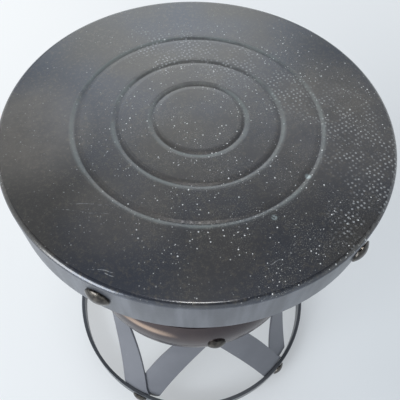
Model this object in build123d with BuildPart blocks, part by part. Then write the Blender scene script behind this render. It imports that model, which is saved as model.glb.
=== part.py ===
"""Round pedestal table: a pressed steel top on a riveted hourglass lattice of flat straps.

Millimetres. The origin is on the floor at the centre line, +Z is up, and the first waist rivet
faces -Y. Five straps climb to the left in the outer layer and five climb to the right in the
inner layer; each runs in one piece from the base ring, through the waist hoop, to the top's skirt.
"""

import os
from math import asin, atan, cos, degrees, hypot, radians, sin

from build123d import *

os.makedirs("parts", exist_ok=True)

# the whole table
table_height = 430.0
top_radius = 178.0
waist_height = 198.0  # from the floor to the waist rivets

# pressed top
top_thickness = 2.0
top_corner = 4.5  # outer radius of the bend from plate to skirt
skirt_height = 45.0
groove_radii = (42.0, 75.0, 111.0)
groove_width = 10.0
groove_depth = 1.6

# base ring and waist hoop
ring_height = 22.0
ring_thickness = 5.0
hoop_crown_radius = 140.5
hoop_thickness = 10.5
hoop_height = 70.0
hoop_edge = 2.0  # thickness left at the hoop's upper and lower edge
edge_break = 0.8  # rounding on the sheet and bar edges

# straps
strap_width = 38.0
strap_thickness = 3.0
strap_sag = 9.2  # how far a span draws in from the straight line between its bends
bend_clear = 3.0  # from the edge of a ring or hoop to the bend beside it
end_reach = 15.0  # from an end rivet to the strap's rounded end, along the strap
foot_clear = 1.0  # from a strap's lower end to the floor
head_clear = 5.0  # from a strap's upper end to the face of the top
lattice_count = 5

# rivets
shank_radius = 5.0
head_radius = 10.6
head_height = 5.0
head_rim = 1.2  # upright edge below the dome
tail_radius = 7.5
tail_height = 4.0
tail_bevel = 1.5

# clearances between pieces
seat_gap = 0.3  # faces that are riveted together
hole_gap = 0.25  # round a rivet's shank

# derived sizes
seat_radius = top_radius - top_thickness  # inside of the skirt and of the base ring
hoop_back_radius = hoop_crown_radius - hoop_thickness
base_rivet_height = ring_height / 2
skirt_rivet_height = table_height - skirt_height / 2
lower_span = waist_height - base_rivet_height
upper_span = skirt_rivet_height - waist_height
pitch = 360 / lattice_count
layer_step = strap_thickness + seat_gap
hole_radius = shank_radius + hole_gap
reach = top_radius + ring_thickness + head_height + 10  # past everything, for cuts


def outward(angle, height):
    """Plane on the centre line that faces out along the given direction."""
    a = radians(angle)
    return Plane(origin=(0, 0, height), x_dir=(-sin(a), cos(a), 0), z_dir=(cos(a), sin(a), 0))


def upright(angle, height):
    """Plane through the centre line; local x runs outward and local y runs up."""
    a = radians(angle)
    return Plane(origin=(0, 0, height), x_dir=(cos(a), sin(a), 0), z_dir=(sin(a), -cos(a), 0))


def keep(part, name):
    """Name a finished piece and write its STEP file."""
    part.label = name
    export_step(part, f"parts/{name}.step")


def drill(spots):
    """Cut the rivet holes of the piece being built; each spot is a direction and a height."""
    with Locations([outward(angle, height).location for angle, height in spots]):
        Cylinder(hole_radius, reach, align=(Align.CENTER, Align.CENTER, Align.MIN), mode=Mode.SUBTRACT)


skirt_angles = [-90 + pitch / 2 + pitch * n for n in range(lattice_count)]
waist_angles = [-90 + pitch * n for n in range(lattice_count)]

# top: one sheet pressed with three round grooves, turned down into a skirt
plate_under = table_height - top_thickness
skirt_bottom = table_height - skirt_height
bend_inside = top_corner - top_thickness
diagonal = cos(radians(45))
outwards, inwards = (1, 0), (-1, 0)  # level tangents at the lips of a groove
with BuildPart() as top_pan:
    with BuildSketch(Plane.XZ):
        with BuildLine():
            start = (0, table_height)
            for radius in groove_radii:
                lip = (radius - groove_width / 2, table_height)
                Line(start, lip)
                start = (radius + groove_width / 2, table_height)
                Spline(lip, (radius, table_height - groove_depth), start, tangents=(outwards, outwards))
            Line(start, (top_radius - top_corner, table_height))
            ThreePointArc(
                (top_radius - top_corner, table_height),
                (top_radius - top_corner * (1 - diagonal), table_height - top_corner * (1 - diagonal)),
                (top_radius, table_height - top_corner),
            )
            Line((top_radius, table_height - top_corner), (top_radius, skirt_bottom))
            Line((top_radius, skirt_bottom), (seat_radius, skirt_bottom))
            Line((seat_radius, skirt_bottom), (seat_radius, plate_under - bend_inside))
            start = (seat_radius - bend_inside, plate_under)
            ThreePointArc(
                (seat_radius, plate_under - bend_inside),
                (seat_radius - bend_inside * (1 - diagonal), plate_under - bend_inside * (1 - diagonal)),
                start,
            )
            for radius in reversed(groove_radii):
                lip = (radius + groove_width / 2, plate_under)
                Line(start, lip)
                start = (radius - groove_width / 2, plate_under)
                Spline(lip, (radius, plate_under - groove_depth), start, tangents=(inwards, inwards))
            Line(start, (0, plate_under))
            Line((0, plate_under), (0, table_height))
        make_face()
    revolve(axis=Axis.Z)
    skirt_edges = top_pan.edges().filter_by(GeomType.CIRCLE).group_by(Axis.Z)[0]
    fillet(skirt_edges, edge_break)
    drill([(angle, skirt_rivet_height) for angle in skirt_angles])
keep(top_pan.part, "top_pan")

# base ring: flat bar rolled on edge and welded into a hoop
ring_outer_radius = seat_radius + ring_thickness
with BuildPart() as base_ring:
    with BuildSketch(Plane.XY):
        Circle(ring_outer_radius)
        Circle(seat_radius, mode=Mode.SUBTRACT)
    extrude(amount=ring_height)
    fillet(base_ring.edges().filter_by(GeomType.CIRCLE), edge_break)
    drill([(angle, base_rivet_height) for angle in skirt_angles])
keep(base_ring.part, "base_ring")

# waist hoop: half-oval bar rolled with its flat side in
hoop_bottom = waist_height - hoop_height / 2
hoop_top = waist_height + hoop_height / 2
hoop_lip_radius = hoop_back_radius + hoop_edge
with BuildPart() as waist_hoop:
    with BuildSketch(Plane.XZ):
        with BuildLine():
            Line((hoop_lip_radius, hoop_top), (hoop_back_radius, hoop_top))
            Line((hoop_back_radius, hoop_top), (hoop_back_radius, hoop_bottom))
            Line((hoop_back_radius, hoop_bottom), (hoop_lip_radius, hoop_bottom))
            ThreePointArc(
                (hoop_lip_radius, hoop_bottom), (hoop_crown_radius, waist_height), (hoop_lip_radius, hoop_top)
            )
        make_face()
    revolve(axis=Axis.Z)
    drill([(angle, waist_height) for angle in waist_angles])
keep(waist_hoop.part, "waist_hoop")


# straps: flat bar, upright at its three seats and drawn in between them
lower_bend = ring_height + bend_clear
waist_low = hoop_bottom - bend_clear
waist_high = hoop_top + bend_clear
upper_bend = skirt_bottom - bend_clear


def face_radius(height, inset):
    """Radius of a strap layer's outer face at a height."""
    seat = seat_radius - inset
    waist = hoop_back_radius - inset
    if height <= lower_bend or height >= upper_bend:
        return seat
    if waist_low <= height <= waist_high:
        return waist
    if height < waist_low:
        along = (height - lower_bend) / (waist_low - lower_bend)
    else:
        along = (upper_bend - height) / (upper_bend - waist_high)
    return seat + (waist - seat) * along - 4 * strap_sag * along * (1 - along)


def strap_turn(height, inset):
    """Angle round the table from a strap's waist rivet; each half is straight in front view."""
    reach_out = (seat_radius - inset) * sin(radians(pitch / 2))
    span = lower_span if height < waist_height else upper_span
    return asin(reach_out * (height - waist_height) / span / face_radius(height, inset))


def strap_slope(height, inset):
    """Lean of a strap's centre line from the upright, and the cosine of its face's slope."""
    step = 6.0
    above, below = height + step, height - step
    flare = (face_radius(above, inset) - face_radius(below, inset)) / (2 * step)
    upright_share = 1 / hypot(1, flare)
    swing = (strap_turn(above, inset) - strap_turn(below, inset)) / (2 * step)
    return atan(face_radius(height, inset) * swing * upright_share), upright_share


def edge_point(height, across, inset):
    """Front view of a point beside a strap's centre line, for a strap that climbs to the right."""
    lean, upright_share = strap_slope(height, inset)
    level = height - across * sin(lean) * upright_share
    radius = face_radius(level, inset)
    return radius * sin(strap_turn(height, inset) + across * cos(lean) / radius), level


def strap(inset, side):
    """One strap through the waist rivet at -Y; side 1 climbs to the right, -1 to the left."""
    steps = 14
    low = -strap_width
    high = table_height + strap_width
    heights = [low + (high - low) * n / steps for n in range(steps + 1)]
    right = [edge_point(h, strap_width / 2, inset) for h in heights]
    left = [edge_point(h, -strap_width / 2, inset) for h in reversed(heights)]
    ends = (foot_clear, table_height - head_clear)
    with BuildPart() as bar:
        with BuildSketch(Plane.XZ):
            with BuildLine():
                for face in (inset, inset + strap_thickness):
                    seat = seat_radius - face
                    waist = hoop_back_radius - face
                    middle = (seat + waist) / 2 - strap_sag
                    Line((seat, ends[0]), (seat, lower_bend))
                    ThreePointArc((seat, lower_bend), (middle, (lower_bend + waist_low) / 2), (waist, waist_low))
                    Line((waist, waist_low), (waist, waist_high))
                    ThreePointArc(
                        (waist, waist_high), (middle, (waist_high + upper_bend) / 2), (seat, upper_bend)
                    )
                    Line((seat, upper_bend), (seat, ends[1]))
                for end in ends:
                    Line((seat_radius - inset, end), (seat_radius - inset - strap_thickness, end))
            make_face()
        revolve(axis=Axis.Z)
        with BuildSketch(Plane.XZ):
            with BuildLine():
                for points in (right, left):
                    Spline([(side * x, z) for x, z in points])
                for first, last in ((right[-1], left[0]), (left[-1], right[0])):
                    Line((side * first[0], first[1]), (side * last[0], last[1]))
            make_face()
        extrude(amount=reach, mode=Mode.INTERSECT)
        # half-round ends just beyond the end rivets
        foot = (-90 - side * pitch / 2, base_rivet_height)
        head = (-90 + side * pitch / 2, skirt_rivet_height)
        inward_shift = strap_width / 2 - end_reach
        for (angle, height), beyond, shift in (
            (foot, Align.MAX, inward_shift),
            (head, Align.MIN, -inward_shift),
        ):
            tilt = -side * degrees(strap_slope(height, inset)[0])
            with BuildSketch(outward(angle, height)):
                with Locations(Rot(0, 0, tilt) * Pos(0, shift)):
                    Rectangle(reach, reach, align=(Align.CENTER, beyond))
                    Circle(strap_width / 2, mode=Mode.SUBTRACT)
            extrude(amount=reach, mode=Mode.SUBTRACT)
        drill([foot, (-90, waist_height), head])
    return bar.part


for layer, side, inset in (("outer", -1, seat_gap), ("inner", 1, seat_gap + layer_step)):
    first = strap(inset, side)
    for n in range(lattice_count):
        keep(first.rotate(Axis.Z, pitch * n), f"{layer}_strap_{n + 1}")


def dome(rim, apex, half_width):
    """Arc of a spherical cap from its rim to its apex on the rivet's line."""
    rise = apex - rim
    ball = (half_width**2 + rise**2) / (2 * rise)
    tilt = asin(half_width / ball) / 2
    ThreePointArc((rim, half_width), (apex - ball * (1 - cos(tilt)), ball * sin(tilt)), (apex, 0))


def rivet(angle, height, face, back, bulge):
    """A rivet in a direction and at a height.

    face and back are the radii of the band's outer face and of the inner strap's inner face;
    bulge is how far the band's outer face swells at mid-height.
    """
    line = Axis((0, 0, height), (cos(radians(angle)), sin(radians(angle)), 0))
    seat = face + seat_gap
    rim = seat + head_rim
    under = seat - bulge
    tail = back - seat_gap
    tail_end = tail - tail_height
    with BuildPart() as pin:
        with BuildSketch(upright(angle, height)):
            with BuildLine():
                Line((under, 0), (seat + head_height, 0))
                dome(rim, seat + head_height, head_radius)
                Line((rim, head_radius), (under, head_radius))
                Line((under, head_radius), (under, 0))
            make_face()
        revolve(axis=line)
        if bulge:
            # the head's underside follows the bulge
            half = hoop_height / 2
            with BuildSketch(upright(angle - pitch / 2, height)):
                with BuildLine():
                    Line((0, -half), (0, half))
                    Line((0, half), (under, half))
                    ThreePointArc((under, half), (seat, 0), (under, -half))
                    Line((under, -half), (0, -half))
                make_face()
            revolve(axis=Axis.Z, revolution_arc=pitch, mode=Mode.SUBTRACT)
        with BuildSketch(upright(angle, height)):
            with BuildLine():
                Line((rim, 0), (rim, shank_radius))
                Line((rim, shank_radius), (tail, shank_radius))
                Line((tail, shank_radius), (tail, tail_radius))
                Line((tail, tail_radius), (tail_end + tail_bevel, tail_radius))
                Line((tail_end + tail_bevel, tail_radius), (tail_end, tail_radius - tail_bevel))
                Line((tail_end, tail_radius - tail_bevel), (tail_end, 0))
                Line((tail_end, 0), (rim, 0))
            make_face()
        revolve(axis=line)
    return pin.part


layers_depth = 2 * layer_step  # both strap layers with their gaps
end_back = seat_radius - layers_depth
waist_back = hoop_back_radius - layers_depth
hoop_bulge = hoop_thickness - hoop_edge
rivet_rows = (
    ("skirt", skirt_rivet_height, top_radius, end_back, 0, skirt_angles[0]),
    ("waist", waist_height, hoop_crown_radius, waist_back, hoop_bulge, waist_angles[0]),
    ("base", base_rivet_height, ring_outer_radius, end_back, 0, skirt_angles[0]),
)
for row, height, face, back, bulge, angle in rivet_rows:
    first = rivet(angle, height, face, back, bulge)
    for n in range(lattice_count):
        keep(first.rotate(Axis.Z, pitch * n), f"{row}_rivet_{n + 1}")

print("waist rivets at", waist_height, "mm, skirt rivets at", skirt_rivet_height, "mm")
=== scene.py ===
# %% [markdown]
# # A round pedestal table in riveted steel
#
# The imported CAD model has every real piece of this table: the pressed top, ten straps, the
# waist hoop, the base ring and fifteen rivets. Blender adds what CAD can't: how the paint, the
# dust and the wear look, and the light that shows them. It also makes the ten straps again, a
# little narrower and straighter than the solids and with rolled edges.

import functools
import math

import bmesh
import bpy
from mathutils import Matrix, Vector


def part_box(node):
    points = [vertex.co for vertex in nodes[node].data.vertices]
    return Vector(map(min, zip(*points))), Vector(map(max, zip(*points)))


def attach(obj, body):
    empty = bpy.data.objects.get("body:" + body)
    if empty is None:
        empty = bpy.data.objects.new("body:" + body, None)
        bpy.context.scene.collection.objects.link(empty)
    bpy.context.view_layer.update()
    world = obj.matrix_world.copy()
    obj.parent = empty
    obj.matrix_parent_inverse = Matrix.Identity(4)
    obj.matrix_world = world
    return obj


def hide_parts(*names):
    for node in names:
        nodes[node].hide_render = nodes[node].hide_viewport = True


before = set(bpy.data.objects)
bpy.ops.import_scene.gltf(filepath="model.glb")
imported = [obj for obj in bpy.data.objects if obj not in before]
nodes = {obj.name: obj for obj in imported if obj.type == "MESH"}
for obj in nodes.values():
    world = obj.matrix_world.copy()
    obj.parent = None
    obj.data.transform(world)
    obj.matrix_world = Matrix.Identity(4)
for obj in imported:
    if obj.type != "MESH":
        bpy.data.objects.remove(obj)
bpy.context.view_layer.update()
print("pieces:", len(nodes))

# %% [markdown]
# ## Sizes
#
# The table's sizes are read from the frame: the top's box gives its radius, height and skirt,
# and the hoop's box gives the waist. The grooves' radii are shares of the top's radius. Marks
# in the paint keep places of their own, in metres from the middle of the top.

# %% Measure the table
top_low, top_high = (Vector(corner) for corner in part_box("top_pan"))
hoop_low, hoop_high = (Vector(corner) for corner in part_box("waist_hoop"))
top_radius = (top_high.x - top_low.x) / 2
top_height = top_high.z
skirt_height = top_high.z - top_low.z
hoop_radius = (hoop_high.x - hoop_low.x) / 2
hoop_middle = (hoop_high.z + hoop_low.z) / 2
groove_shares = (0.236, 0.421, 0.624)
groove_radii = [share * top_radius for share in groove_shares]
print("top radius", round(top_radius, 4), "height", round(top_height, 4))
print("hoop radius", round(hoop_radius, 4), "middle at", round(hoop_middle, 4))

# %% [markdown]
# ## A small language for finishes
#
# A finish is a graph of nodes, but most of it is plain sums. A wrapper round one output socket
# lets Python's own operators add the Math nodes, so a mask reads like the formula it is. Any
# other node comes from one method, which sets the node up first and then fills its inputs.


# %% Sums on sockets
class Value:
    """One output socket. Sums on it add Math nodes to its tree."""

    def __init__(self, tree, socket):
        self.tree = tree
        self.socket = socket

    def maths(self, operation, *items):
        node = self.tree.nodes.new("ShaderNodeMath")
        node.operation = operation
        for slot, item in zip(node.inputs, items):
            feed(self.tree, slot, item)
        return Value(self.tree, node.outputs[0])

    def __add__(self, other):
        return self.maths("ADD", self, other)

    def __radd__(self, other):
        return self.maths("ADD", other, self)

    def __sub__(self, other):
        return self.maths("SUBTRACT", self, other)

    def __rsub__(self, other):
        return self.maths("SUBTRACT", other, self)

    def __mul__(self, other):
        return self.maths("MULTIPLY", self, other)

    def __rmul__(self, other):
        return self.maths("MULTIPLY", other, self)

    def __truediv__(self, other):
        return self.maths("DIVIDE", self, other)

    def __abs__(self):
        return self.maths("ABSOLUTE", self)

    def __pow__(self, other):
        return self.maths("POWER", self, other)

    def above(self, limit):
        return self.maths("GREATER_THAN", self, limit)

    def larger(self, other):
        return self.maths("MAXIMUM", self, other)

    def ramp(self, start, end):
        """0 below start, 1 above end, smooth between; start may be the larger."""
        node = self.tree.nodes.new("ShaderNodeMapRange")
        node.interpolation_type = "SMOOTHSTEP"
        feed(self.tree, node.inputs["Value"], self)
        feed(self.tree, node.inputs["From Min"], min(start, end))
        feed(self.tree, node.inputs["From Max"], max(start, end))
        rising = Value(self.tree, node.outputs["Result"])
        return rising if start < end else 1 - rising


def feed(tree, slot, item):
    """Link a value to an input, or set the input to a plain number, colour or vector."""
    if isinstance(item, Value):
        tree.links.new(item.socket, slot)
    else:
        slot.default_value = item


def largest(masks):
    """One mask from many, as bright at each place as the brightest of them."""
    return functools.reduce(Value.larger, masks)


def mix_colours(tree, mask, first, second):
    """First colour where the mask is 0, second where it is 1."""
    node = tree.nodes.new("ShaderNodeMix")
    node.data_type = "RGBA"
    feed(tree, node.inputs["Factor"], mask)
    slots = [slot for slot in node.inputs if slot.type == "RGBA"]
    for slot, item in zip(slots, (first, second)):
        feed(tree, slot, item if isinstance(item, Value) else (*item, 1.0))
    return Value(tree, next(slot for slot in node.outputs if slot.type == "RGBA"))


# %% A finish and its nodes
class Finish:
    """A material with one Principled shader, and the coordinates of the piece it is on."""

    def __init__(self, name, **settings):
        self.material = bpy.data.materials.new(name)
        self.material.use_nodes = True
        self.tree = self.material.node_tree
        self.shader = self.tree.nodes["Principled BSDF"]
        for label, value in settings.items():
            self.shader.inputs[label.replace("_", " ")].default_value = value
        self.place = self.node("ShaderNodeTexCoord", output="Object")
        split = self.node("ShaderNodeSeparateXYZ", {}, {"Vector": self.place}, "X")
        self.x = split
        self.y = Value(self.tree, split.socket.node.outputs["Y"])
        self.z = Value(self.tree, split.socket.node.outputs["Z"])

    def node(self, kind, settings=None, inputs=None, output=0):
        made = self.tree.nodes.new(kind)
        for label, value in (settings or {}).items():
            setattr(made, label, value)
        for label, value in (inputs or {}).items():
            feed(self.tree, made.inputs[label], value)
        return Value(self.tree, made.outputs[output])

    def noise(self, size, detail=2.0, place=None, rough=0.5):
        """Soft random values whose blobs are about this many metres across."""
        inputs = {"Vector": place or self.place, "Scale": 1 / size}
        inputs.update({"Detail": detail, "Roughness": rough})
        return self.node("ShaderNodeTexNoise", {}, inputs, "Fac")

    def blend(self, mask, first, second):
        return mix_colours(self.tree, mask, first, second)

    def bump(self, height, depth):
        """Relief on top of the mesh's own shape: this many metres where the height is 1."""
        return self.node("ShaderNodeBump", {}, {"Height": height, "Distance": depth}, "Normal")

    def drive(self, label, item):
        feed(self.tree, self.shader.inputs[label], item)

    def put_on(self, names):
        for name in names:
            slots = nodes[name].data.materials
            slots.clear()
            slots.append(self.material)
        print(self.material.name, "on", len(names), "nodes,", len(self.tree.nodes), "shader nodes")


# %% [markdown]
# ## The painted top
#
# The real top is pressed sheet steel in a charcoal metallic enamel. Flat, it mirrors the dark
# ceiling close by and the bright room further off, so its grey has to come from reflection: a
# shader that is half metallic does that, where a plain grey paint would look chalky. On the
# paint lie white dust, a faint grid of dots left by a non-slip mat, and rubbed paint along the
# pressed grooves, which also stands in part for light on the grooves' walls (painted
# highlight). Each of these is a mask worked out from the distance to the middle or from a
# cell pattern.

# %% Charcoal enamel
enamel = Finish("charcoal_enamel", IOR=1.8)
flat_place = enamel.node("ShaderNodeCombineXYZ", {}, {"X": enamel.x, "Y": enamel.y}, "Vector")
radius = enamel.node("ShaderNodeVectorMath", {"operation": "LENGTH"}, {0: flat_place}, "Value")
face = enamel.z.ramp(top_height - 0.004, top_height - 0.0012)
cloud = enamel.noise(0.110, 2.0)
mottle = enamel.noise(0.0030, 3.0, rough=0.7)
navy, charcoal, brown_grain = (0.048, 0.054, 0.070), (0.066, 0.062, 0.058), (0.135, 0.122, 0.100)
paint = enamel.blend(cloud.ramp(0.35, 0.65), navy, charcoal)
paint = enamel.blend(mottle.ramp(0.48, 0.74) * face * 0.6, paint, brown_grain)
print("top paint clouds and mottling laid")

# %% [markdown]
# The skirt is a plainer, paler grey than the face; the paler grey is a painted reflection of the
# pale floor that the upright skirt mirrors. Soft, paler upright streaks run over it. The streaks
# are a noise that is stretched by a Mapping node: a small scale along the height makes its blobs
# tall.

# %% Streaked skirt
streak_place = enamel.node(
    "ShaderNodeMapping", {}, {"Vector": enamel.place, "Scale": (1.0, 1.0, 0.12)}, "Vector"
)
streaks = enamel.noise(0.011, 3.0, place=streak_place).ramp(0.35, 0.70) * (1 - face)
skirt_reflection_grey, streak_grey = (0.080, 0.086, 0.102), (0.19, 0.20, 0.23)
# Painted reflection: the skirt's paler grey stands in for the pale floor it mirrors.
paint = enamel.blend(1 - face, paint, skirt_reflection_grey)
paint = enamel.blend(streaks * 0.6, paint, streak_grey)
print("skirt", round(skirt_height, 4), "high, streaked")

# %% [markdown]
# Marks that sit at one place are drawn from the distance to a point or to a short line.


# %% Marks at a place
def spot(finish, x, y, size):
    """1 at a place on the top, fading to 0 this many metres away."""
    dx = finish.x - x
    dy = finish.y - y
    return ((dx * dx + dy * dy) ** 0.5).ramp(size, size * 0.35)


def scratch(finish, x, y, angle, length, width):
    """1 along a short scratch that wanders a little."""
    dx = finish.x - x
    dy = finish.y - y
    turn = math.radians(angle)
    along = dx * math.cos(turn) + dy * math.sin(turn)
    across = dy * math.cos(turn) - dx * math.sin(turn)
    wander = (finish.noise(0.012, 1.0) - 0.5) * 0.004
    thin = abs(across + wander).ramp(width, width * 0.3)
    return thin * abs(along).ramp(length / 2, length * 0.3)


print("marks can be drawn at any place on the top")

# %% [markdown]
# Cloths and cups rub the paint on the outer lip of each pressed groove, which has gone pale and
# a little green there; the pale band also stands in for the light on the groove's near wall, so
# it is partly a painted highlight. The band lies at a small distance outside each groove's
# middle, and a soft noise breaks it, because no rub is even. One small chip by the outer groove
# is paler, and a second pale spot on the same groove is a painted highlight.

# %% Worn grooves with painted highlights, and chips
lip_shift = 0.0022
# Partly a painted highlight: this pale band on each groove's outer lip stands in for light on the
# near wall as well as for rubbed paint.
groove_wear_and_highlight = largest(
    abs(radius - groove - lip_shift).ramp(0.0030, 0.0004) for groove in groove_radii
)
groove_wear_and_highlight = groove_wear_and_highlight * (0.25 + enamel.noise(0.040, 3.0, rough=0.6).ramp(0.40, 0.60) * 0.75)
chip_and_highlight = spot(enamel, 0.038, -0.114, 0.0032) * enamel.noise(0.0018, 3.0).ramp(0.36, 0.52)
# This second pale spot is a painted highlight, not a chip.
chip_and_highlight = chip_and_highlight.larger(spot(enamel, 0.0775, -0.0800, 0.0035))
rubbed_green_and_highlight, chip_and_highlight_green = (0.19, 0.24, 0.235), (0.42, 0.50, 0.50)
paint = enamel.blend(groove_wear_and_highlight * 0.40, paint, rubbed_green_and_highlight)
paint = enamel.blend(chip_and_highlight * 0.8, paint, chip_and_highlight_green)
print("worn grooves at", [round(r, 4) for r in groove_radii])

# %% [markdown]
# The mat's dots make a nearly square grid, 4.2 mm apart. A Voronoi pattern with little
# randomness is such a grid, and a soft patch mask says where the dots are still there.

# %% Dots left by a mat
dot_pitch = 0.0042
dot_scatter = 0.45
mat_turn = math.radians(-20)
turned = enamel.node(
    "ShaderNodeMapping", {}, {"Vector": enamel.place, "Rotation": (0, 0, mat_turn)}, "Vector"
)
dot_distance = enamel.node(
    "ShaderNodeTexVoronoi",
    {"voronoi_dimensions": "2D"},
    {"Vector": turned, "Scale": 1 / dot_pitch, "Randomness": dot_scatter},
    "Distance",
)
dot_patches = (
    (-0.034, 0.104, 0.034),
    (-0.018, 0.086, 0.030),
    (0.010, 0.090, 0.040),
    (0.046, 0.066, 0.040),
    (0.092, 0.022, 0.040),
    (0.128, -0.018, 0.050),
    (0.134, -0.068, 0.050),
    (0.128, -0.110, 0.046),
    (0.104, -0.132, 0.034),
)
patch = largest(spot(enamel, *place) for place in dot_patches)
patch = patch * enamel.noise(0.018, 3.0, rough=0.6).ramp(0.42, 0.60)
dots = dot_distance.ramp(0.29, 0.14) * patch * face
dot_grey = (0.46, 0.48, 0.49)
paint = enamel.blend(dots * 0.6, paint, dot_grey)
print("dot patches:", len(dot_patches))

# %% [markdown]
# Dust is a Voronoi pattern whose cells each hold one speck. A second random value per cell
# decides how large the speck is, so most cells stay empty. The dust lies thickest where the
# table is least wiped: round the middle and over the right-hand half.


# %% Dust
def specks(finish, cell, largest, share):
    """White specks: one in some of the cells, up to a largest radius in metres."""
    inputs = {"Vector": finish.place, "Scale": 1 / cell}
    near = finish.node("ShaderNodeTexVoronoi", {}, inputs, "Distance")
    colour = Value(finish.tree, near.socket.node.outputs["Color"])
    chance = finish.node("ShaderNodeSeparateColor", {}, {"Color": colour}, "Red")
    size = chance.ramp(1 - share, 1.0) * (largest / cell)
    return (size - near).above(0.0)


fine_dust = specks(enamel, 0.0022, 0.00042, 0.45)
small_dust = specks(enamel, 0.0038, 0.00068, 0.50)
large_dust = specks(enamel, 0.013, 0.0009, 0.30)
drift = enamel.noise(0.030, 3.0).ramp(0.36, 0.60)
dusty = (spot(enamel, 0.070, -0.040, 0.210) + spot(enamel, 0.050, -0.150, 0.060) + 0.16) * drift
dust = (fine_dust.larger(small_dust) * (dusty * 1.5)).larger(large_dust * (dusty + 0.3)) * face
powder = enamel.noise(0.0011, 2.0, rough=0.8).ramp(0.52, 0.74) * (dusty + 0.15) * face
print("three sizes of specks and a fine powder")

# %% [markdown]
# A few short scratches and a thin brownish film finish the face. The film is partly painted
# light: its patches lift the face where the room's light makes it paler, on the left, the right
# and in the middle. A scratch has a place, an angle in degrees, a length and a width; a patch of
# film has a place, a size and a strength. The layers are then laid over the paint in the order
# in which they came to lie on it.

# %% Scratches, and a film with painted light
scratch_lines = (
    (-0.0960, -0.1350, -25, 0.016, 0.0004),
    (-0.0945, -0.1380, -33, 0.013, 0.0004),
    (-0.1010, -0.1330, -12, 0.012, 0.0003),
    (-0.1085, -0.0819, -16, 0.050, 0.0003),
    (-0.1020, -0.0760, -12, 0.036, 0.0003),
    (-0.0850, -0.0276, 60, 0.008, 0.0006),
    (0.0300, -0.1500, 12, 0.022, 0.0003),
)
film_and_light_patches = (
    (-0.150, 0.010, 0.080, 0.17),
    (-0.075, -0.085, 0.060, 0.09),
    (0.125, -0.030, 0.110, 0.15),
    (0.070, -0.060, 0.070, 0.09),
    (0.000, 0.010, 0.160, 0.07),
)
scratches = largest(scratch(enamel, *line) for line in scratch_lines)
scratches = scratches * enamel.noise(0.003, 3.0).ramp(0.40, 0.60) * face
# Partly painted light: the film patches brighten the face where the room's light makes it paler.
film_and_painted_light = largest(spot(enamel, x, y, size) * strength for x, y, size, strength in film_and_light_patches)
film_and_painted_light = film_and_painted_light * (0.4 + enamel.noise(0.016, 4.0, rough=0.7) * 1.2) * face
film_and_light_brown, powder_grey = (0.47, 0.42, 0.36), (0.42, 0.41, 0.37)
scratch_grey, dust_white = (0.55, 0.58, 0.60), (0.80, 0.81, 0.80)
paint = enamel.blend(film_and_painted_light, paint, film_and_light_brown)
paint = enamel.blend(powder * 0.42, paint, powder_grey)
paint = enamel.blend(scratches * 0.35, paint, scratch_grey)
paint = enamel.blend(dust, paint, dust_white)
enamel.drive("Base Color", paint)
print("scratches:", len(scratch_lines), "film patches:", len(film_and_light_patches))

# %% [markdown]
# Whatever lies on the enamel is duller than it and isn't metal, while the rolled corner is
# polished by use. Wet enamel also pools in a pressed groove and softens its walls. The groove
# itself is in the mesh; the pool is a broad bump that is highest at the groove's middle, far
# higher than the faint orange-peel of the paint, which shares the same Bump node.

# %% Gloss and relief of the top
corner_size = 0.0043
relief_unit = 0.00003  # metres of relief for a height of 1
pool_height = 24
corner = radius.above(top_radius - corner_size) * enamel.z.above(top_height - corner_size)
matt = largest((dust, dots, groove_wear_and_highlight * 0.6, scratches, film_and_painted_light * 0.5))
enamel.drive("Metallic", 0.5 - matt * 0.45)
enamel.drive("Roughness", 0.26 + cloud * 0.10 + mottle * 0.08 + matt * 0.3 - corner * 0.14)
peel = enamel.noise(0.0035, 1.0) + dots * 0.5 + dust * 1.5
pools = largest(abs(radius - groove).ramp(0.0050, 0.0) for groove in groove_radii)
enamel.drive("Normal", enamel.bump(peel + pools * pool_height, relief_unit))
enamel.put_on(["top_pan"])

# %% [markdown]
# ## Satin paint
#
# The ring and the straps are flat bar under a satin coat of the same metallic paint, a little
# lighter. It drifts softly in tone and is paler in small worn places, so a fine noise and a
# soft cloud are enough. All the straps can share one finish, because the noise is read at a
# different place on each. The ring is painted here, and the straps once they are made.


# %% Satin paint for bar and ring
def satin(name, dark, pale, metallic, roughness, relief):
    """Satin paint over rolled steel; its tone drifts between two colours."""
    finish = Finish(name, IOR=1.6)
    drift = finish.noise(0.07, 3.0)
    fine = finish.noise(0.0016, 2.0)
    tone = finish.blend(drift.ramp(0.3, 0.7), dark, pale)
    worn = finish.noise(0.006, 4.0, rough=0.65).ramp(0.66, 0.78)
    tone = finish.blend(worn * 0.35, tone, (0.30, 0.30, 0.31))
    grit = specks(finish, 0.006, 0.0005, 0.18)
    finish.drive("Base Color", finish.blend(grit * 0.6, tone, (0.6, 0.6, 0.6)))
    finish.drive("Metallic", metallic - (worn * 0.3).larger(grit * metallic))
    finish.drive("Roughness", roughness + drift * 0.12 + worn * 0.15)
    finish.drive("Normal", finish.bump(fine + worn, relief))
    return finish


ring_dark, ring_pale = (0.085, 0.092, 0.102), (0.125, 0.132, 0.144)
ring_paint = satin("ring_paint", ring_dark, ring_pale, 0.5, 0.30, 0.00003)
ring_paint.put_on(["base_ring"])

# %% [markdown]
# ## Straps
#
# Each strap on the real table is one flat bar that leans over, draws in to the waist and
# spreads again. It is a ribbon on an hourglass, so a flat grid is a good start: every row of
# the grid goes to its height on the hourglass and turns a little further round it. The rows
# are closest at the two ends, where the ribbon narrows to a half-round. Solidify then gives
# the bar its thickness and Bevel rolls its edges, which catch the light as rolled bar does.

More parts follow.
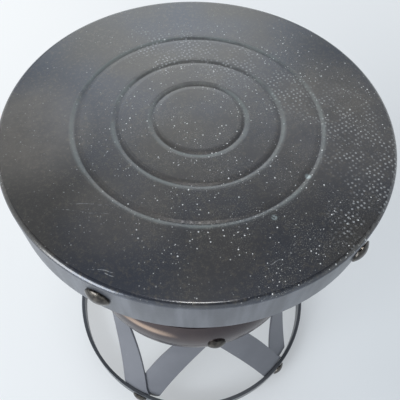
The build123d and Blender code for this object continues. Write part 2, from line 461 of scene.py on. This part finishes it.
# %% Sizes of the bars
ring_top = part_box("base_ring")[1][2]
straps_each_way = 5
bar_width = 0.0368
bar_thickness = 0.0028  # thin enough that the two layers stay apart where they slope
bar_sag = 0.0064  # how far each span bows inward at its middle
edge_radius = 0.0005
seat_gap = 0.0003  # between the skirt and the outer layer
layer_step = 0.0033
sheet_thickness = 0.0020
hoop_thickness = 0.0105
bend_gap = 0.0030  # from the ring, hoop and skirt to where the bars bend
foot_gap = 0.0010  # the bars stop clear of the floor
end_rise = 0.0096  # height from an end rivet's middle to the end of the bar
seat_radius = top_radius - sheet_thickness
hoop_back = hoop_radius - hoop_thickness
foot_rivet = ring_top / 2
head_rivet = top_height - skirt_height / 2
foot_bend = ring_top + bend_gap
head_bend = top_height - skirt_height - bend_gap
waist_bends = (hoop_low.z - bend_gap, hoop_high.z + bend_gap)
print("strap seat", round(seat_radius, 4), "waist", round(hoop_back, 4))


# %% The hourglass
def band_radius(height, inset):
    """Radius of a layer of straps at a height; it narrows to the waist in two sagging spans."""
    seat = seat_radius - inset
    waist = hoop_back - inset
    if height <= foot_bend or height >= head_bend:
        return seat
    if waist_bends[0] <= height <= waist_bends[1]:
        return waist
    if height < waist_bends[0]:
        along = (height - foot_bend) / (waist_bends[0] - foot_bend)
    else:
        along = (head_bend - height) / (head_bend - waist_bends[1])
    return seat + (waist - seat) * along - 4 * bar_sag * along * (1 - along)


def band_turn(height, inset):
    """Angle round the table from the waist rivet; seen from the front, each half is straight."""
    reach = (seat_radius - inset) * math.sin(math.pi / straps_each_way)
    end = foot_rivet if height < hoop_middle else head_rivet
    share = (height - hoop_middle) / abs(end - hoop_middle)
    return math.asin(reach * share / band_radius(height, inset))


def on_strap(height, across, inset):
    """A place on the outer face of a strap that climbs to the right past -Y."""
    step = 0.006  # to the samples above and below that give the slopes
    above, below = height + step, height - step
    flare = (band_radius(above, inset) - band_radius(below, inset)) / (2 * step)
    swing = (band_turn(above, inset) - band_turn(below, inset)) / (2 * step)
    slope = 1 / math.hypot(1, flare)
    lean = math.atan(band_radius(height, inset) * swing * slope)
    level = height - across * math.sin(lean) * slope
    radius_there = band_radius(level, inset)
    angle = band_turn(height, inset) + across * math.cos(lean) / radius_there
    return Vector((radius_there * math.sin(angle), -radius_there * math.cos(angle), level))


print("a strap's foot is at", [round(v, 4) for v in on_strap(foot_rivet, 0.0, seat_gap)])


# %% One strap from a grid
def strap_face(side, inset, turns):
    """The outer face of one bar: side 1 climbs to the right, -1 to the left."""
    low, high = foot_rivet - end_rise, head_rivet + end_rise
    half = bar_width / 2
    bar = bmesh.new()
    bmesh.ops.create_grid(bar, x_segments=6, y_segments=90, size=1.0)
    for vertex in bar.verts:
        share = 0.5 + 0.5 * math.sin(math.pi / 2 * vertex.co.y)
        height = low + (high - low) * share
        from_end = min(height - low, high - height, half)
        width_there = math.sqrt(half**2 - (half - from_end) ** 2)
        place = on_strap(height, vertex.co.x * width_there, inset)
        vertex.co = (side * place.x, place.y, place.z)
    bmesh.ops.remove_doubles(bar, verts=bar.verts, dist=0.00001)
    whole = bar.verts[:] + bar.edges[:] + bar.faces[:]
    floor_plane = {"plane_co": (0, 0, foot_gap), "plane_no": (0, 0, -1)}
    bmesh.ops.bisect_plane(bar, geom=whole, dist=0.000001, clear_outer=True, **floor_plane)
    bar.normal_update()
    middle_face = max(bar.faces, key=lambda face: face.calc_area())
    if middle_face.normal.xy.dot(middle_face.calc_center_median().xy) < 0:
        bmesh.ops.reverse_faces(bar, faces=bar.faces)
    whole_turn = Matrix.Rotation(2 * math.pi / straps_each_way * turns, 3, "Z")
    bmesh.ops.rotate(bar, verts=bar.verts, cent=(0, 0, 0), matrix=whole_turn)
    return bar


# %% Thickness and rolled edges
def make_strap(name, side, inset, turns):
    """A solid bar in place of the node of this name."""
    bar = strap_face(side, inset, turns)
    mesh = bpy.data.meshes.new(name + "_bar")
    bar.to_mesh(mesh)
    bar.free()
    mesh.shade_smooth()
    piece = bpy.data.objects.new(name + "_bar", mesh)
    bpy.context.scene.collection.objects.link(piece)
    solid = piece.modifiers.new("thickness", "SOLIDIFY")
    solid.thickness = bar_thickness
    solid.offset = -1.0
    edge = piece.modifiers.new("rolled_edge", "BEVEL")
    edge.width = edge_radius
    edge.segments = 2
    edge.limit_method = "ANGLE"
    edge.angle_limit = math.radians(40)
    edge.harden_normals = True
    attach(piece, "root")
    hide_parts(name)
    return piece


# %% All the straps
strap_dark, strap_pale = (0.155, 0.160, 0.182), (0.190, 0.195, 0.218)
strap_paint = satin("strap_paint", strap_dark, strap_pale, 0.5, 0.36, 0.00004)
for layer, side, inset in (("outer", -1, seat_gap), ("inner", 1, seat_gap + layer_step)):
    for turns in range(straps_each_way):
        strap = make_strap(f"{layer}_strap_{turns + 1}", side, inset, turns)
        strap.data.materials.append(strap_paint.material)
    print(layer, "straps,", len(strap.data.polygons), "faces each before their modifiers")

# %% [markdown]
# ## Waist hoop
#
# The hoop is a half-oval bar in a dark, glossy brown-black. A soft copper band above the crown,
# strongest on one side of the hoop and more metallic than the coat round it, is a painted
# highlight: it stands in for the warm light that the hoop's shoulder mirrors from the left.

# %% Hoop with a painted highlight
hoop = Finish("hoop_gloss", IOR=1.6)
hoop_cloud = hoop.noise(0.03, 3.0)
above_crown = hoop.z - hoop_middle
highlight_height = 0.0210
shoulder = abs(above_crown - highlight_height).ramp(0.0062, 0.0010)
highlight_angle = math.radians(-125)
facing = (hoop.x * math.cos(highlight_angle) + hoop.y * math.sin(highlight_angle)) / hoop_radius
# A painted highlight: the copper band stands in for warm light mirrored by the hoop's shoulder.
painted_highlight = shoulder * facing.ramp(0.935, 0.99) * (0.75 + hoop.noise(0.02, 2.0) * 0.4)
coat_dark, coat_pale, highlight_copper = (0.044, 0.033, 0.036), (0.068, 0.050, 0.050), (0.60, 0.44, 0.34)
coat = hoop.blend(hoop_cloud.ramp(0.3, 0.7), coat_dark, coat_pale)
hoop.drive("Base Color", hoop.blend(painted_highlight, coat, highlight_copper))
hoop.drive("Metallic", 0.55 + painted_highlight * 0.35)
hoop.drive("Roughness", 0.15 + hoop_cloud * 0.08)
hoop.drive("Normal", hoop.bump(hoop.noise(0.003, 1.0), 0.00003))
hoop.put_on(["waist_hoop"])

# %% [markdown]
# ## Rivets
#
# The rivet heads are darkened bronze: metal, so the shader is mostly metallic, with a brown
# patina that is thicker in some places than in others. One noise chooses between a dark and a
# paler bronze, and makes the thick places duller and less metallic.

# %% Antique bronze
bronze = Finish("antique_bronze")
patina = bronze.noise(0.004, 4.0)
bronze_dark, bronze_pale = (0.045, 0.042, 0.039), (0.115, 0.103, 0.089)
metal = bronze.blend(patina.ramp(0.35, 0.65), bronze_dark, bronze_pale)
bronze.drive("Base Color", metal)
bronze.drive("Metallic", 0.95 - patina.ramp(0.5, 0.75) * 0.3)
bronze.drive("Roughness", 0.14 + patina * 0.14)
bronze.drive("Normal", bronze.bump(bronze.noise(0.0016, 2.0), 0.00004))
bronze.put_on([name for name in nodes if "_rivet_" in name])

# %% [markdown]
# ## Floor
#
# The floor is only there to catch the shadow and to be mirrored in the metal. It is a plain
# pale sheet, a little cool, made from one large square. It shows whiter than the room would
# light it, so the part of it that is seen, straight or in a mirror, is mixed with plain white
# light; Light Path says which rays those are, and the lamps needn't be turned up.

# %% Pale floor
floor_mesh = bpy.data.meshes.new("floor")
floor = bpy.data.objects.new("floor", floor_mesh)
bpy.context.scene.collection.objects.link(floor)
sheet = bmesh.new()
bmesh.ops.create_grid(sheet, x_segments=1, y_segments=1, size=4.0)
sheet.to_mesh(floor_mesh)
sheet.free()
floor_finish = Finish("pale_floor", Roughness=0.8)
floor_tone = floor_finish.noise(0.25, 2.0)
sheet_dark, sheet_pale = (0.72, 0.75, 0.78), (0.76, 0.79, 0.81)
floor_finish.drive("Base Color", floor_finish.blend(floor_tone, sheet_dark, sheet_pale))
rays = [
    floor_finish.node("ShaderNodeLightPath", output=label)
    for label in ("Is Camera Ray", "Is Glossy Ray", "Is Transmission Ray")
]
white = floor_finish.node("ShaderNodeEmission", {}, {"Color": (0.95, 0.98, 1.0, 1.0)}, "Emission")
# Painted light: more white is mixed in towards the back and the left, as if the room's light fell
# from there.
painted_light_falloff = floor_finish.y.ramp(-0.5, 0.9) * 0.42 + floor_finish.x.ramp(0.45, -0.45) * 0.38 + 0.12
seen = largest(rays) * painted_light_falloff
mixed = floor_finish.node("ShaderNodeMixShader", {}, {"Fac": seen}, "Shader")
floor_tree = floor_finish.tree
floor_tree.links.new(floor_finish.shader.outputs["BSDF"], mixed.socket.node.inputs[1])
floor_tree.links.new(white.socket, mixed.socket.node.inputs[2])
floor_tree.links.new(mixed.socket, floor_tree.nodes["Material Output"].inputs["Surface"])
floor_mesh.materials.append(floor_finish.material)
print("floor", [round(v, 2) for v in floor.dimensions])

# %% [markdown]
# ## Light
#
# A pale, even room does most of the work. The world is bright near the horizon and dark
# overhead, as in a room with windows and a dim ceiling, and that is what gives the enamel its
# dark near side and pale far side. A large soft lamp behind the table lights its far rim, one
# at the left models the hoop and the skirt, and a small one overhead draws the thin bright
# line along the near rim and the glint on each rivet.

# %% Room
world = bpy.data.worlds.new("pale_room")
bpy.context.scene.world = world
world.use_nodes = True
room = world.node_tree
sky = Value(room, room.nodes.new("ShaderNodeTexCoord").outputs["Generated"])
split = room.nodes.new("ShaderNodeSeparateXYZ")
feed(room, split.inputs[0], sky)
upward = Value(room, split.outputs["Z"]) + Value(room, split.outputs["X"]) * 0.10
walls, dim_ceiling = (0.87, 0.94, 1.0), (0.075, 0.080, 0.105)
background = room.nodes["Background"]
tint = mix_colours(room, upward.ramp(0.50, 0.80), walls, dim_ceiling)
feed(room, background.inputs["Color"], tint)
background.inputs["Strength"].default_value = 0.95
print("world: pale walls, dim ceiling")


# %% Lamps
def lamp(name, place, aim, size, power, colour):
    """A square lamp, this many metres wide, that points at a place."""
    data = bpy.data.lights.new(name, "AREA")
    data.shape = "SQUARE"
    data.size = size
    data.energy = power
    data.color = colour
    item = bpy.data.objects.new(name, data)
    item.location = place
    item.rotation_euler = (Vector(aim) - Vector(place)).to_track_quat("-Z", "Y").to_euler()
    bpy.context.scene.collection.objects.link(item)
    print(name, "at", [round(v, 2) for v in place], power, "W")


middle = (0.0, 0.0, top_height)
lamp("window_behind", (0.25, 2.2, 1.75), middle, 1.6, 16.0, (0.90, 0.96, 1.0))
lamp("soft_left", (-1.7, -0.9, 0.8), middle, 1.2, 34.0, (0.94, 0.97, 1.0))
lamp("ceiling_lamp", (0.0, -0.15, 2.1), middle, 0.24, 4.5, (1.0, 0.99, 0.97))

# %% [markdown]
# ## Camera
#
# The table is seen from above and a little to one side of the first waist rivet, with the
# camera tipped a few degrees. The camera's place is given in radii of the top, so it keeps its
# framing at any size.

# %% Camera
camera_data = bpy.data.cameras.new("camera")
camera = bpy.data.objects.new("camera", camera_data)
bpy.context.scene.collection.objects.link(camera)
side_turn = math.radians(-13.7)
look_down = math.radians(56.92)
tip = math.radians(2.93)
offset = Vector((0.029, -1.601, 1.690)) * top_radius
turn = Matrix.Rotation(side_turn, 4, "Z")
camera.matrix_world = (
    Matrix.Translation(turn @ offset + Vector((0, 0, top_height)))
    @ turn
    @ Matrix.Rotation(math.pi / 2 - look_down, 4, "X")
    @ Matrix.Rotation(tip, 4, "Z")
)
camera_data.lens = 40.55
camera_data.clip_start = 0.01
bpy.context.scene.camera = camera
bpy.context.scene.view_settings.view_transform = "Standard"
print("camera at", [round(v, 3) for v in camera.location])
